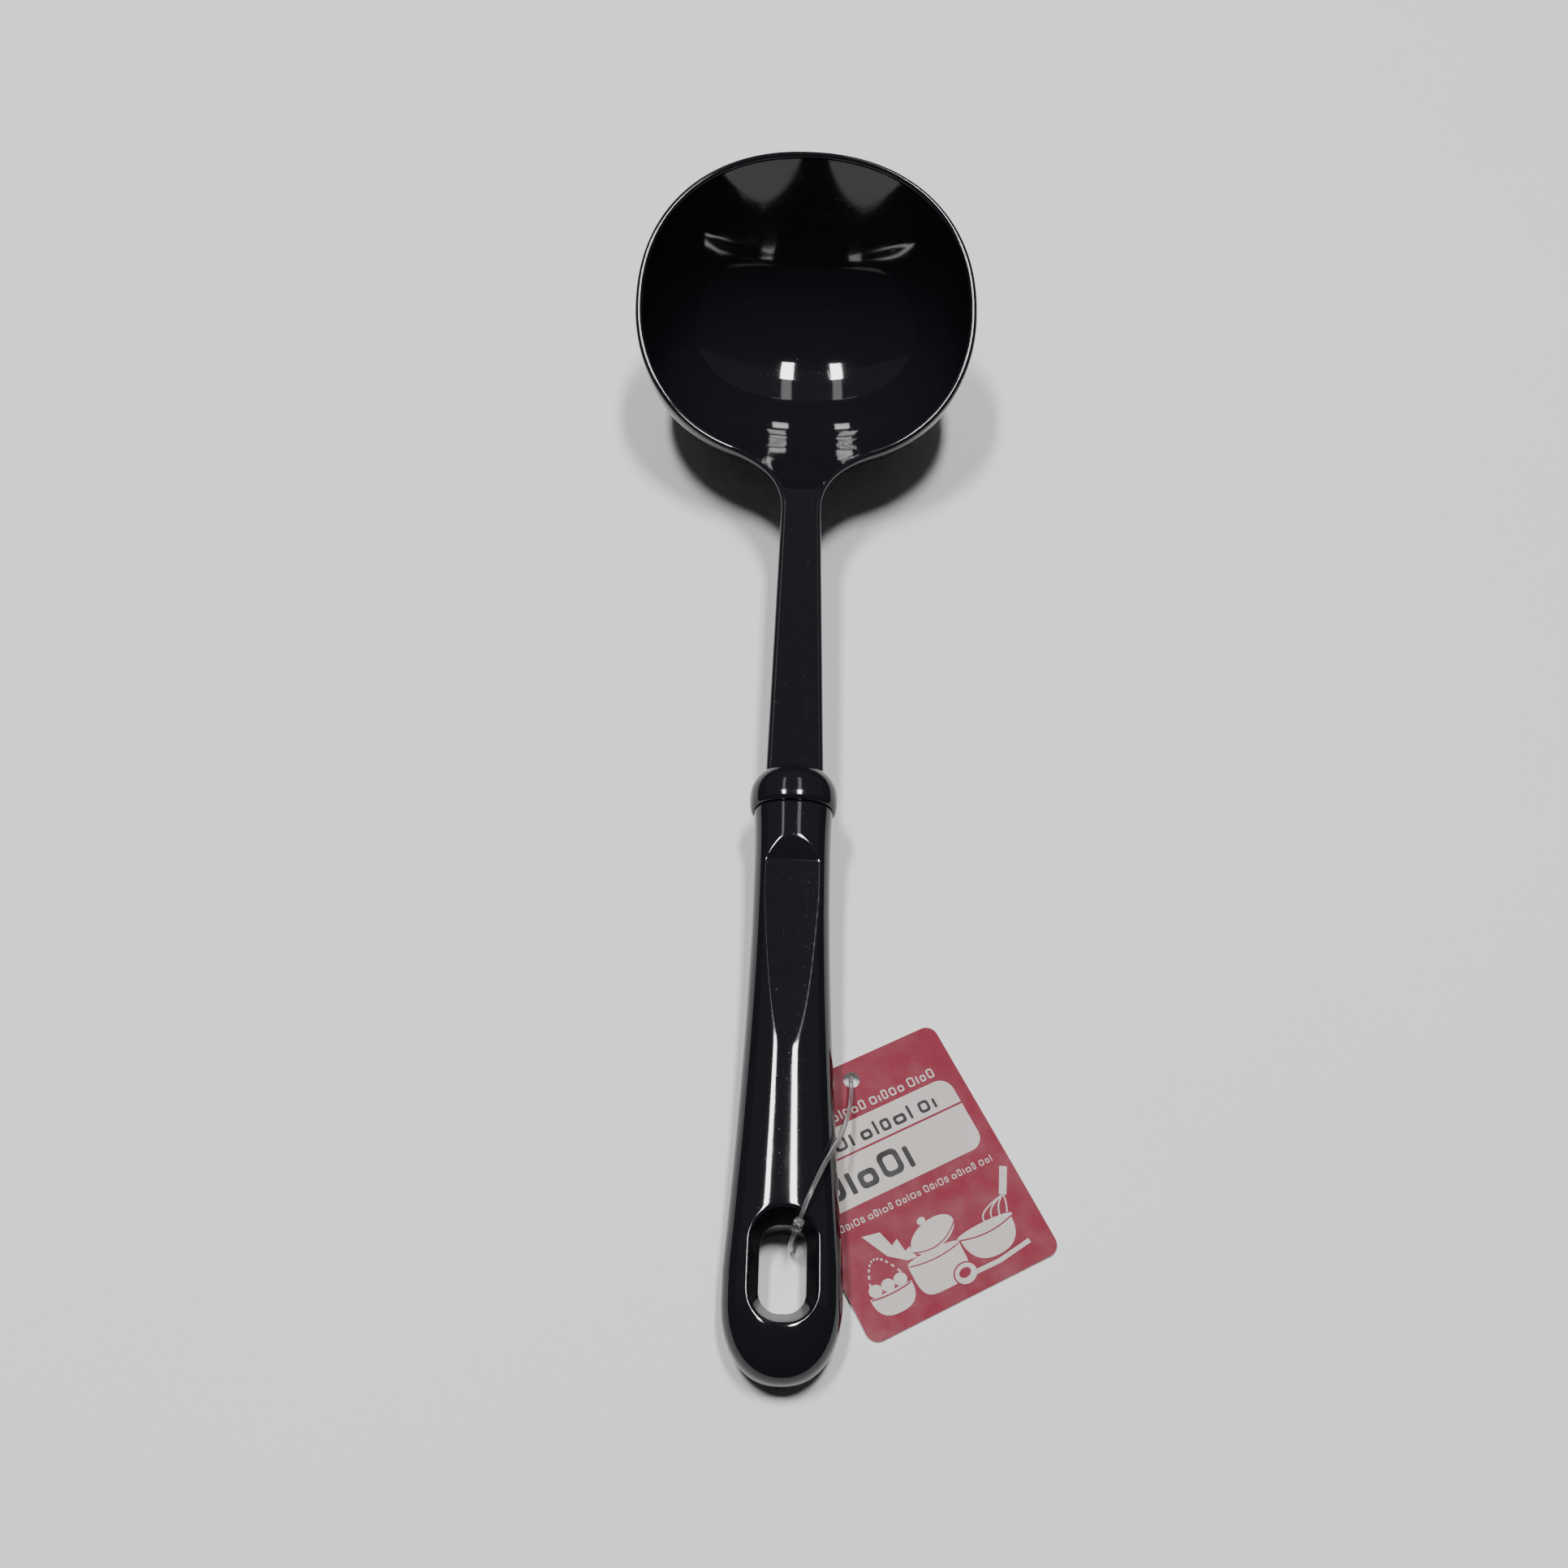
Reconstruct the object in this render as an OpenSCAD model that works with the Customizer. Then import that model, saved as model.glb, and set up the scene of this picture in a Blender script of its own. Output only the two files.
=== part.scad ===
// Black nylon soup ladle with a beaded collar, a grip with a hang hole, and a card hang tag on a
// thin plastic loop. Millimetres, +Z up, lying on a table as it rests: bowl foot and grip end down,
// bowl towards +Y. The origin is under the middle of the ladle's own bounding box.
//
// The ladle is designed in its axis frame: Y runs along the grip and shank towards the bowl, from
// the seam between grip and collar. The module lay() puts that frame on the table.

/* [Bowl] */
// Radius of the rim, outside
rim_r = 43.7; // [42:0.1:46]
// Depth of the bowl below its rim, outside
bowl_depth = 36.9; // [35:0.1:39]
// Wall thickness of the bowl
wall = 1.9; // [1.4:0.1:2.4]
// Squareness of the rim's outline towards the neck, 2 is a circle
rim_power = 2.08; // [2:0.02:2.2]
// Squareness of the rim's outline towards the front lip
front_power = 2.2; // [2:0.02:2.3]
// Pitch of the rim's plane against the ladle's axis, in degrees
rim_pitch = 18.8; // [16:0.2:22]
// Distance from the grip's seam to the centre of the rim
rim_y = 141.75; // [138:0.25:146]
// Height of the rim's centre above the ladle's axis
rim_z = 9.3; // [8:0.1:11]
// Depth of the small flat foot under the bowl
foot_cut = 0.3; // [0.1:0.1:0.6]

/* [Neck and shank] */
// Angle round the rim, from the front lip, where the neck's edge leaves the rim, in degrees
neck_angle = 156; // [150:1:158]
// Slope of the ramp inside the bowl's rear wall, against the rim's plane, in degrees
ramp_slope = 53; // [50:0.5:57]
// Half width of the shank at the neck
neck_half = 4.8; // [4:0.1:6]
// Half width of the shank at the collar
shank_half = 6.3; // [5:0.1:7]
// Height of the shank's flat face above the axis
face_z = 3.0; // [2.5:0.1:3.5]
// Depth of the shank's rounded back below the axis, at the neck
back_neck = 3.0; // [2.6:0.1:3.4]
// Depth of the shank's rounded back below the axis, at the collar
back_collar = 3.6; // [3:0.1:4]

/* [Collar] */
// Width of the bead
collar_w = 19.2; // [18:0.1:21]
// Height of the bead
collar_h = 15.0; // [14:0.1:16]
// Length of the bead along the axis
collar_len = 9.2; // [8.5:0.1:9.6]

/* [Grip] */
// Length of the grip
grip_len = 118.3; // [115:0.1:122]
// Width of the grip below the collar
grip_w = 16.4; // [15:0.1:18]
// Width of the grip at the hang hole
grip_end_w = 22.8; // [21:0.1:25]
// Thickness of the grip
grip_h = 12.6; // [12:0.1:13.4]
// Depth of the thumb recess
thumb_depth = 1.5; // [0.8:0.1:2]
// Distance from the seam to the middle of the hang hole
hole_at = 97.6; // [95:0.1:99]
// Length of the hang hole
hole_len = 16.2; // [14:0.1:17]
// Width of the hang hole
hole_w = 8.9; // [7:0.1:9.5]
// Depth of the flared pocket above the hang hole
pocket_depth = 5; // [3:0.1:6]
// How far the pocket spreads beyond the hang hole at the top
pocket_flare = 2.6; // [1.5:0.1:2.8]

/* [Tang] */
// Width of the tang inside collar and grip
tang_w = 9; // [7:0.1:10]
// Thickness of the tang
tang_h = 4.4; // [3:0.1:5]
// Length of the tang inside the grip
tang_len = 42; // [20:1:60]

/* [Hang tag] */
// Width of the card
card_w = 41.9; // [38:0.1:44]
// Height of the card
card_h = 52.4; // [50:0.1:55]
// Thickness of the card
card_t = 0.4; // [0.3:0.05:0.5]
// Corner radius of the card
card_r = 2.5; // [1:0.1:4]
// Diameter of the punched hole
punch_d = 3.4; // [3:0.1:4]
// Distance from the card's top edge to the centre of the punched hole
punch_in = 3.9; // [3.4:0.1:6]
// Diameter of the loop's filament
loop_d = 0.9; // [0.7:0.05:1]

/* [Hidden] */

black = [0.03, 0.03, 0.035];
rest_slope = 4.89;       // slope of the ladle's axis on the table, in degrees
seat_y = -31.83;         // where the grip's seam stands over the table
seat_z = 15.4 - (foot_cut - 0.3);

// Bowl: a round bottom under a steeper front wall. Its centre line is a circle about
// [bottom_eta, bottom_up], measured along the rim's plane from its centre and square to it
bottom_out = 35.8;       // radius of the bottom, outside
bottom_in = bottom_out - wall;
bottom_eta = -0.7;
bottom_up = bottom_out - bowl_depth;
front_slope = 50;        // slope where the bottom turns into the front wall, in degrees
front_round = 26;        // distance in front of the rim's centre where the sections are circular
section_power = 2.3;     // squareness of the half oval sections behind it
rim_in = rim_r - wall;
back_slope = 53;         // slope of the underside where it leaves the bowl, in degrees
neck_eta = -58.5;        // where the neck becomes the shank, along the rim's plane from its centre
lift_from = 126;         // angle round the rim where its edge starts to rise to the neck
lift = 1.6;              // how far it has risen at the neck's edge
edge = 1;                // rounding along the shank's edges
face_round = 1.2;        // rounding where the ramp turns into the shank's face
back_round = 3;          // fillet between the bowl's back and the shank's underside

// Points in each stretch of a section of the head
M = 20;
KE = 3;

function mix(a, b, t) = a + (b - a) * t;
function clamp01(t) = max(0, min(1, t));
function power(v, k) = sign(v) * pow(abs(v), k);

// ---- sections of the head, in the bowl frame [x, along the rim's plane, square to it] ----

// Point on the rim's outline at an angle from the front lip: [half width, position]
function rim_point(a, r) =
    let (k = 2 / (a < 90 ? front_power : rim_power)) [r * power(sin(a), k), r * power(cos(a), k)];

// A line parallel to the ladle's axis at height z, as height over the rim's plane
function axis_line(eta, z) = -eta * tan(rim_pitch) + (z - rim_z) / cos(rim_pitch);

// How far the rim's edge has risen above the rim's plane
function rim_lift(a) = lift * pow(clamp01((a - lift_from) / (neck_angle - lift_from)), 2);

function soft_min(a, b, k) = (a + b) / 2 - sqrt(pow((a - b) / 2, 2) + k * k);

// Centre line of one skin in front of the bottom: the wall, ending at the rim's front edge
function front_wall(u, r, reach) =
    let (low = bottom_up - r * cos(front_slope), rise = tan(front_slope) * reach, f = u / reach)
    low + rise * f - (low + rise) * f * f;

// Centre line of the inner or outer skin: front wall, bottom of radius r, ramp, then the shank
function spine(eta, r, rim, slope, z, k) =
    let (front = bottom_eta + r * sin(front_slope), turn = bottom_eta - r * sin(slope))
    eta > front ? front_wall(eta - front, r, rim - front) :
    eta >= turn ? bottom_up - sqrt(r * r - pow(eta - bottom_eta, 2)) :
    let (low = bottom_up - r * cos(slope), f = min(1, (turn - eta) / (turn - neck_eta)))
    soft_min(low + tan(slope) * (turn - eta), axis_line(eta, z), 4 * k * f * (1 - f));

function inner_spine(eta) = spine(eta, bottom_in, rim_in, ramp_slope, face_z, face_round);
function outer_spine(eta) = spine(eta, bottom_out, rim_r, back_slope, -back_neck, back_round);

function bezier(p, t) =
    pow(1 - t, 3) * p[0] + 3 * pow(1 - t, 2) * t * p[1] + 3 * (1 - t) * t * t * p[2] + pow(t, 3) * p[3];

// Control points of an edge that leaves the rim of radius r and ends at half width w, height z
function edge_curve(r, w, z) =
    let (p = rim_point(neck_angle, r), q = rim_point(neck_angle - 1, r),
         d = (p - q) / norm(p - q), a = 4, b = 10.7,
         rise = 2 * lift / (neck_angle - lift_from) / norm(p - q))
    [[p[0], p[1], lift], [p[0] + a * d[0], p[1] + a * d[1], lift + a * rise],
     [w, neck_eta + b, z - b * tan(rim_pitch)], [w, neck_eta, z]];

// Half oval from (-w, top) through (0, low) to (w, top), as M + 1 points [x, z]. It is boxy where
// front is 0 and a circular arc where front is 1
function arc(w, top, low, front) =
    let (s = max(top - low, 0.02), r = (w * w + s * s) / (2 * s))
    [for (j = [0 : M]) let (b = 180 * j / M - 90, x = w * sin(b),
                            oval = s * pow(max(cos(b), 0), 2 / section_power),
                            round = sqrt(r * r - x * x) - r + s)
        [x, top - mix(oval, round, front)]];

// Rounded edge between the inner and the outer skin, KE points from inner to outer
function edge_arc(pi, po, half) =
    let (c = norm(po - pi) / 2, d = (po - pi) / (2 * c), up = [0, 0, 1] - d[2] * d, n = up / norm(up),
         r = c / sin(half), mid = (pi + po) / 2 - n * c / tan(half))
    [for (k = [1 : KE]) let (b = half * (2 * k / (KE + 1) - 1)) mid + r * (cos(b) * n + sin(b) * d)];

// One closed ring: inner skin left to right, right edge, outer skin right to left, left edge.
// ins and outs are [half width, position, edge height, centre height]
function ring(ins, outs, half, front = 0) =
    let (a = arc(ins[0], ins[2], ins[3], front), b = arc(outs[0], outs[2], outs[3], front),
         e = edge_arc([ins[0], ins[1], ins[2]], [outs[0], outs[1], outs[2]], half))
    concat(
        [for (q = a) [q[0], ins[1], q[1]]],
        e,
        [for (j = [M : -1 : 0]) [b[j][0], outs[1], b[j][1]]],
        [for (k = [KE - 1 : -1 : 0]) [-e[k][0], e[k][1], e[k][2]]]);

function bowl_ring(a) =
    let (i = rim_point(a, rim_in), o = rim_point(a, rim_r), z = rim_lift(a))
    ring([i[0], i[1], z, inner_spine(i[1])], [o[0], o[1], z, outer_spine(o[1])], 90,
         clamp01(i[1] / front_round));

function neck_ring(t) =
    let (z = axis_line(neck_eta, face_z),
         i = bezier(edge_curve(rim_in, neck_half - edge, z), t),
         o = bezier(edge_curve(rim_r, neck_half, z - edge), t))
    ring([i[0], i[1], i[2], inner_spine(i[1])], [o[0], o[1], o[2], outer_spine(o[1])], mix(90, 45, t));

function shank_ring(y) =
    let (neck_y = rim_y + neck_eta * cos(rim_pitch), f = clamp01((neck_y - y) / (neck_y - collar_len)),
         w = mix(neck_half, shank_half, f), back = mix(back_neck, back_collar, f))
    ring([w - edge, y, face_z, face_z], [w, y, face_z - edge, -back], 45);

function to_axis_frame(r) = [for (q = r)
    [q[0], rim_y + q[1] * cos(rim_pitch) - q[2] * sin(rim_pitch),
     rim_z + q[1] * sin(rim_pitch) + q[2] * cos(rim_pitch)]];

// ---- sections of the collar and the grip, in the axis frame ----

RING = 40;               // points round a section
// Superellipse section: half width a, half height b, at y
function oval(a, b, y, p) = [for (j = [0 : RING - 1]) let (t = 360 * j / RING)
    [a * power(sin(t), 2 / p), y, b * power(cos(t), 2 / p)]];

collar_widest = 3;       // distance of the bead's widest place from the seam
collar_nose = 8.3;       // length of the bead's dome if it ran to a point
function collar_scale(y) =
    y > collar_widest ? pow(1 - pow((y - collar_widest) / collar_nose, 2.2), 1 / 2.2)
                      : 0.9 + 0.1 * pow(1 - pow(1 - y / collar_widest, 2.4), 1 / 2.4);

grip_swell = 20;         // where the grip starts to widen
end_round = 15.3;        // length of its rounded end
function grip_half(d) = (mix(grip_w, grip_end_w,
    pow(clamp01((d - grip_swell) / (hole_at - grip_swell)), 1.7)) + 0.7 * pow(clamp01(1 - d / 12), 2)) / 2;
function end_scale(d, p) =
    let (t = clamp01((d - grip_len + end_round) / end_round)) pow(1 - pow(t, p), 1 / p);

// Thumb recess: a long shallow ramp down towards the collar and a short steep one back up
thumb_full = 22;         // distance from the seam where the long ramp ends, at full depth
thumb_end = 55;          // and where it starts
scoop_from = 8.5;        // distance from the seam where the short ramp meets the grip's crest
scoop_to = 13.7;         // and where it reaches full depth
function thumb_cut(d) =
    grip_h / 2 - thumb_depth * min(1, (thumb_end - d) / (thumb_end - thumb_full),
                                   (d - scoop_from) / (scoop_to - scoop_from));

function grip_ring(d) =
    [for (q = oval(grip_half(d) * end_scale(d, 2.2), grip_h / 2 * end_scale(d, 2.8), -d, 2.3))
        [q[0], q[1], min(q[2], thumb_cut(d))]];

// ---- solids ----

// Closed skin over rings of equal length. In each ring, point j mirrors point (top - j)
module loft(rings, top) {
    n = len(rings[0]);
    last = (len(rings) - 1) * n;
    side = [for (i = [0 : len(rings) - 2], j = [0 : n - 1])
        let (a = i * n + j, b = i * n + (j + 1) % n) each [[a, b, b + n], [a, b + n, a + n]]];
    pairs = [for (k = [top / 2 : top / 2 + n / 2 - 1])
        let (a = k % n, b = (k + 1) % n, c = (top - k - 1 + 2 * n) % n, d = (top - k + n) % n)
        each concat(b == c ? [] : [[a, c, b]], a == d ? [] : [[a, d, c]])];
    cap_end = [for (f = pairs) [last + f[0], last + f[2], last + f[1]]];
    polyhedron([for (r = rings) each r], concat(side, pairs, cap_end), convexity = 8);
}

module rounded_rect(w, h, r) {
    square([w - 2 * r, h], center = true);
    square([w, h - 2 * r], center = true);
    for (x = [-1, 1], y = [-1, 1])
        translate([x * (w / 2 - r), y * (h / 2 - r)]) circle(r, $fn = 48);
}

// From the ladle's axis frame to the table
module lay() {
    translate([0, seat_y, seat_z]) rotate([rest_slope, 0, 0]) children();
}

module tang_bar(y_from, y_to) {
    translate([-tang_w / 2, y_from, -tang_h / 2]) cube([tang_w, y_to - y_from, tang_h]);
}

// Bowl, ramp and flat-faced shank in one moulding, with the tang that collar and grip hide
module ladle_head() {
    bowl = [for (a = [4 : 8 : neck_angle - 8]) to_axis_frame(bowl_ring(a))];
    neck = [for (t = [0 : 1 / 12 : 1]) to_axis_frame(neck_ring(t))];
    shank = [for (y = [76, 60, 44, 28, collar_len]) shank_ring(y)];
    color(black) difference() {
        lay() union() {
            loft(concat(bowl, [to_axis_frame(bowl_ring(neck_angle - 3))], neck, shank), M);
            tang_bar(-tang_len, collar_len + 2);
        }
        translate([-30, 40, -10]) cube([60, 110, 10]);
    }
}

// Half-dome bead pressed over the tang, with a seam to the shank and one to the grip
module collar() {
    stations = [collar_len, 8.6, 8, 7.2, 6.4, 5.4, 4.2, 3, 1.8, 1, 0.4, 0];
    color(black) lay() difference() {
        loft([for (y = stations) oval(collar_w / 2 * collar_scale(y), collar_h / 2 * collar_scale(y), y, 2.2)], 0);
        tang_bar(-1, collar_len + 1);
    }
}

// Grip with the tang's socket, the thumb recess, the flared pocket and the hang hole
module handle() {
    stations = concat([0, 4, scoop_from, 9.5, 10.8, 12.2, scoop_to, 16.5, 19, 22], [for (d = [27 : 5.5 : 54.5]) d],
                      [for (d = [60 : 8 : 100]) d],
                      [for (a = [14 : 12 : 86]) grip_len - end_round * (1 - sin(a))]);
    color(black) lay() difference() {
        loft([for (d = stations) grip_ring(d)], 0);
        tang_bar(-tang_len, 1);
        translate([0, -hole_at, -grip_h]) linear_extrude(2 * grip_h) rounded_rect(hole_w, hole_len, 3.9);
        hull() {
            translate([0, -hole_at, grip_h / 2 - pocket_depth]) linear_extrude(0.01)
                rounded_rect(hole_w, hole_len, 3.9);
            translate([0, -hole_at, grip_h / 2]) linear_extrude(1)
                rounded_rect(hole_w + 2 * pocket_flare, hole_len + 2 * pocket_flare, 6);
        }
    }
}

// ---- hang tag, placed straight in the table's frame ----

punch = [13.4, -88.0];   // centre of the punched hole
card_turn = 27.6;        // turn of the card about +Z, in degrees
card_tilt = 2.4;         // the loop under it lifts the card's top edge by this angle
card_up = (card_h - punch_in) * sin(card_tilt);

// Printed card, lower edge on the table, top edge on the loop
module tag_card() {
    color([0.75, 0.15, 0.22]) translate([punch[0], punch[1], card_up])
        rotate([0, 0, card_turn]) rotate([card_tilt, 0, 0]) difference() {
            translate([0, punch_in - card_h / 2, 0]) linear_extrude(card_t) rounded_rect(card_w, card_h, card_r);
            translate([0, 0, -1]) cylinder(d = punch_d, h = card_t + 2, $fn = 48);
        }
}

// Route of the loop's filament: out of the lock, over the grip's shoulder, down through the
// punched hole, back under card and grip, and up the hang hole into the lock
ROUTE = [
    [2.7, -121.8, 13.0], [3.6, -119.6, 15.2], [4.9, -116.6, 16.3], [6.4, -113.0, 15.5],
    [7.9, -109.8, 14.9], [9.6, -106.4, 13.6], [11.1, -102.8, 10.9], [12.1, -99.0, 8.3],
    [12.8, -95.6, 6.4], [13.1, -93.2, 5.3], [13.2, -91.6, 4.9], [13.2, -90.0, 4.8],
    [13.2, -88.4, 4.2], [13.2, -87.7, 2.6], [13.1, -88.4, 1.0], [12.8, -90.0, 0.4],
    [12.4, -91.7, 0.5], [11.6, -94.8, 0.5], [10.4, -98.6, 0.5], [8.6, -103.8, 0.5],
    [6.7, -109.2, 0.5], [4.8, -114.4, 0.5], [3.3, -118.8, 0.5], [2.3, -122.0, 0.5],
    [1.6, -123.6, 1.6], [1.4, -124.1, 3.4], [1.4, -123.9, 5.6], [1.6, -123.4, 8.0],
    [2.0, -122.8, 10.2], [2.4, -122.3, 11.8]];
LOOP_SIDE = [0.95, -0.31, 0];    // roughly square to the loop's own plane
SIDES = 8;

// Point on the smooth curve that the route's points pull along, from point i to point i + 1
function curve(p, i, t) =
    let (n = len(p), b = p[i], c = p[i + 1],
         a = i > 0 ? p[i - 1] : 2 * b - c, d = i < n - 2 ? p[i + 2] : 2 * c - b)
    (pow(1 - t, 3) * a + (3 * pow(t, 3) - 6 * t * t + 4) * b + (1 + 3 * t + 3 * t * t - 3 * pow(t, 3)) * c
     + pow(t, 3) * d) / 6;

function unit(v) = v / norm(v);

// Thin clear filament, swept along its route
module tag_loop() {
    n = len(ROUTE);
    path = concat([for (i = [0 : n - 2], t = [0, 0.5]) curve(ROUTE, i, t)], [ROUTE[n - 1]]);
    last = len(path) - 1;
    rings = [for (i = [0 : last])
        let (t = unit(path[min(i + 1, last)] - path[max(i - 1, 0)]), u = unit(cross(t, LOOP_SIDE)), v = cross(u, t))
        [for (k = [0 : SIDES - 1]) path[i] + loop_d / 2 * (cos(360 * k / SIDES) * u + sin(360 * k / SIDES) * v)]];
    color([0.85, 0.86, 0.86]) loft(rings, 0);
}

// Lock head that closes the loop
module loop_lock() {
    a = ROUTE[len(ROUTE) - 1];
    b = ROUTE[0];
    d = unit(b - a);
    color([0.85, 0.86, 0.86]) translate((a + b) / 2)
        rotate([0, acos(d[2]), atan2(d[1], d[0])]) cylinder(d = 2.2, h = 2.2, center = true, $fn = 48);
}

ladle_head();
collar();
handle();
tag_card();
tag_loop();
loop_lock();
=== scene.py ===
import math

import bmesh
import bpy
import numpy as np
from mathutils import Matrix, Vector
from mathutils.geometry import delaunay_2d_cdt


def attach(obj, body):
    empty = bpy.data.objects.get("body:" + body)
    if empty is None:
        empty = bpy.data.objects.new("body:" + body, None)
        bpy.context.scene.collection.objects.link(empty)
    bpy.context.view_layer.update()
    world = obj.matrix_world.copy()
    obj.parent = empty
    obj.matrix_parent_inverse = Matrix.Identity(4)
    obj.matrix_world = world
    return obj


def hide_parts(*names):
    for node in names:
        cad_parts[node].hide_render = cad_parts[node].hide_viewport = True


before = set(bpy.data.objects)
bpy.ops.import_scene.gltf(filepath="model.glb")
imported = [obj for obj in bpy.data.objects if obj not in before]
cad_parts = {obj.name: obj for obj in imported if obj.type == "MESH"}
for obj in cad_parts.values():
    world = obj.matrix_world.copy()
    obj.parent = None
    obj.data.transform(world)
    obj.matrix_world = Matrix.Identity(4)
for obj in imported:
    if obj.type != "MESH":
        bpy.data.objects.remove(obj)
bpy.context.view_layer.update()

MM = 0.001
TURN = 2 * math.pi


# ---------------------------------------------------------------- camera

def make_camera():
    data = bpy.data.cameras.new("photo_camera")
    data.sensor_width = 36
    data.lens = 36.9
    data.clip_start = 0.01
    data.clip_end = 20
    camera = bpy.data.objects.new("photo_camera", data)
    camera.location = (-0.0080, -0.2232, 0.3080)
    camera.rotation_euler = [math.radians(angle) for angle in (34.18, -1.96, 1.22)]
    bpy.context.scene.collection.objects.link(camera)
    bpy.context.scene.camera = camera


make_camera()


# ---------------------------------------------------------------- node materials

class Nodes:
    """A material and short calls for building its nodes."""

    def __init__(self, name):
        self.material = bpy.data.materials.new(name)
        self.material.use_nodes = True
        self.tree = self.material.node_tree
        self.shader = self.tree.nodes["Principled BSDF"]
        self.place = self.tree.nodes.new("ShaderNodeTexCoord").outputs["Object"]

    def set(self, **values):
        for name, value in values.items():
            self.shader.inputs[name.replace("_", " ")].default_value = value

    def new(self, kind, **settings):
        node = self.tree.nodes.new(kind)
        for name, value in settings.items():
            setattr(node, name, value)
        return node

    def link(self, source, target):
        self.tree.links.new(source, target)

    def noise(self, scale, detail=3.0, roughness=0.5, stretch=(1, 1, 1)):
        """Noise of that many features a metre, as a factor output."""
        mapping = self.new("ShaderNodeMapping")
        mapping.inputs["Scale"].default_value = stretch
        self.link(self.place, mapping.inputs["Vector"])
        node = self.new("ShaderNodeTexNoise")
        node.inputs["Scale"].default_value = scale
        node.inputs["Detail"].default_value = detail
        node.inputs["Roughness"].default_value = roughness
        self.link(mapping.outputs["Vector"], node.inputs["Vector"])
        return node.outputs["Fac"]

    def ranged(self, source, low, high, start=0.0, end=1.0):
        node = self.new("ShaderNodeMapRange")
        node.inputs["From Min"].default_value = low
        node.inputs["From Max"].default_value = high
        node.inputs["To Min"].default_value = start
        node.inputs["To Max"].default_value = end
        self.link(source, node.inputs["Value"])
        return node.outputs["Result"]

    def combine(self, operation, a, b):
        node = self.new("ShaderNodeMath", operation=operation)
        for socket, value in zip(node.inputs, (a, b)):
            if isinstance(value, (int, float)):
                socket.default_value = value
            else:
                self.link(value, socket)
        return node.outputs[0]

    def colours(self, factor, low, high):
        node = self.new("ShaderNodeMix", data_type="RGBA")
        node.inputs["A"].default_value = (*low, 1)
        node.inputs["B"].default_value = (*high, 1)
        self.link(factor, node.inputs["Factor"])
        return node.outputs["Result"]

    def bump(self, height, distance, strength=1.0, under=None):
        node = self.new("ShaderNodeBump")
        node.inputs["Strength"].default_value = strength
        node.inputs["Distance"].default_value = distance
        self.link(height, node.inputs["Height"])
        if under:
            self.link(under, node.inputs["Normal"])
        return node.outputs["Normal"]


SCUFF_ROUGHNESS = 0.05
SPECK_ROUGHNESS = 0.25


def black_nylon(name, roughness, ripple):
    """Gloss black moulding: faint sink-mark ripple, fine hairline scuffs and specks of dust."""
    n = Nodes(name)
    n.set(IOR=1.53)
    speck = n.ranged(n.noise(2600, 1), 0.74, 0.80)
    hair = n.combine("MAXIMUM", n.noise(900, 4, 0.6, (1, 0.05, 1)), n.noise(700, 4, 0.6, (0.06, 1, 0.5)))
    hair = n.ranged(hair, 0.62, 0.80)
    cloud = n.noise(60, 4, 0.6)
    pale = n.combine("MAXIMUM", n.combine("MULTIPLY", speck, 0.6), n.combine("MULTIPLY", hair, 0.15))
    base = n.colours(pale, (0.0078, 0.0083, 0.0106), (0.032, 0.033, 0.037))
    n.link(base, n.shader.inputs["Base Color"])
    rough = n.ranged(cloud, 0.3, 0.7, roughness * 0.8, roughness * 1.25)
    rough = n.combine("ADD", rough, n.combine("MULTIPLY", hair, SCUFF_ROUGHNESS))
    rough = n.combine("ADD", rough, n.combine("MULTIPLY", speck, SPECK_ROUGHNESS))
    n.link(rough, n.shader.inputs["Roughness"])
    wave = n.bump(n.noise(45, 2), ripple * MM, 1.0)
    n.link(n.bump(hair, 0.004 * MM, 0.6, wave), n.shader.inputs["Normal"])
    return n.material


CARD_ROUGHNESS = 0.5


def card_stock(name, low, high):
    """Card: blotchy ink, a fine paper tooth and a soft sheen."""
    n = Nodes(name)
    blot = n.ranged(n.combine("ADD", n.combine("MULTIPLY", n.noise(55, 4, 0.6), 0.6),
                              n.combine("MULTIPLY", n.noise(1500, 3, 0.7), 0.4)), 0.35, 0.65)
    n.link(n.colours(blot, low, high), n.shader.inputs["Base Color"])
    rough = n.ranged(n.noise(220, 3), 0.3, 0.7, CARD_ROUGHNESS * 0.85, CARD_ROUGHNESS * 1.15)
    n.link(rough, n.shader.inputs["Roughness"])
    n.link(n.bump(n.noise(3500, 4, 0.65), 0.02 * MM, 0.8), n.shader.inputs["Normal"])
    n.set(Specular_IOR_Level=0.25)
    return n.material


def clear_filament():
    """Clear nylon line: drawn streaks along it and a slightly milky body."""
    n = Nodes("clear_nylon")
    n.set(IOR=1.5, Transmission_Weight=0.9)
    streak = n.noise(1800, 3, 0.6, (1, 0.1, 1))
    n.link(n.colours(streak, (0.55, 0.56, 0.57), (0.8, 0.81, 0.82)), n.shader.inputs["Base Color"])
    n.link(n.ranged(streak, 0.3, 0.7, 0.08, 0.2), n.shader.inputs["Roughness"])
    n.link(n.bump(streak, 0.01 * MM, 0.5), n.shader.inputs["Normal"])
    return n.material


NYLON = black_nylon("black_nylon_head", 0.05, 0.012)
COLLAR = black_nylon("black_nylon_collar", 0.07, 0.01)
GRIP = black_nylon("black_nylon_grip", 0.06, 0.012)
RED = card_stock("card_red_ink", (0.20, 0.0035, 0.022), (0.232, 0.0055, 0.028))
CREAM = card_stock("card_cream", (0.52, 0.48, 0.455), (0.58, 0.535, 0.51))
DARK = card_stock("card_dark_ink", (0.012, 0.010, 0.011), (0.02, 0.017, 0.018))
CLEAR = clear_filament()


# ---------------------------------------------------------------- meshes

WELD = 0.002


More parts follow.
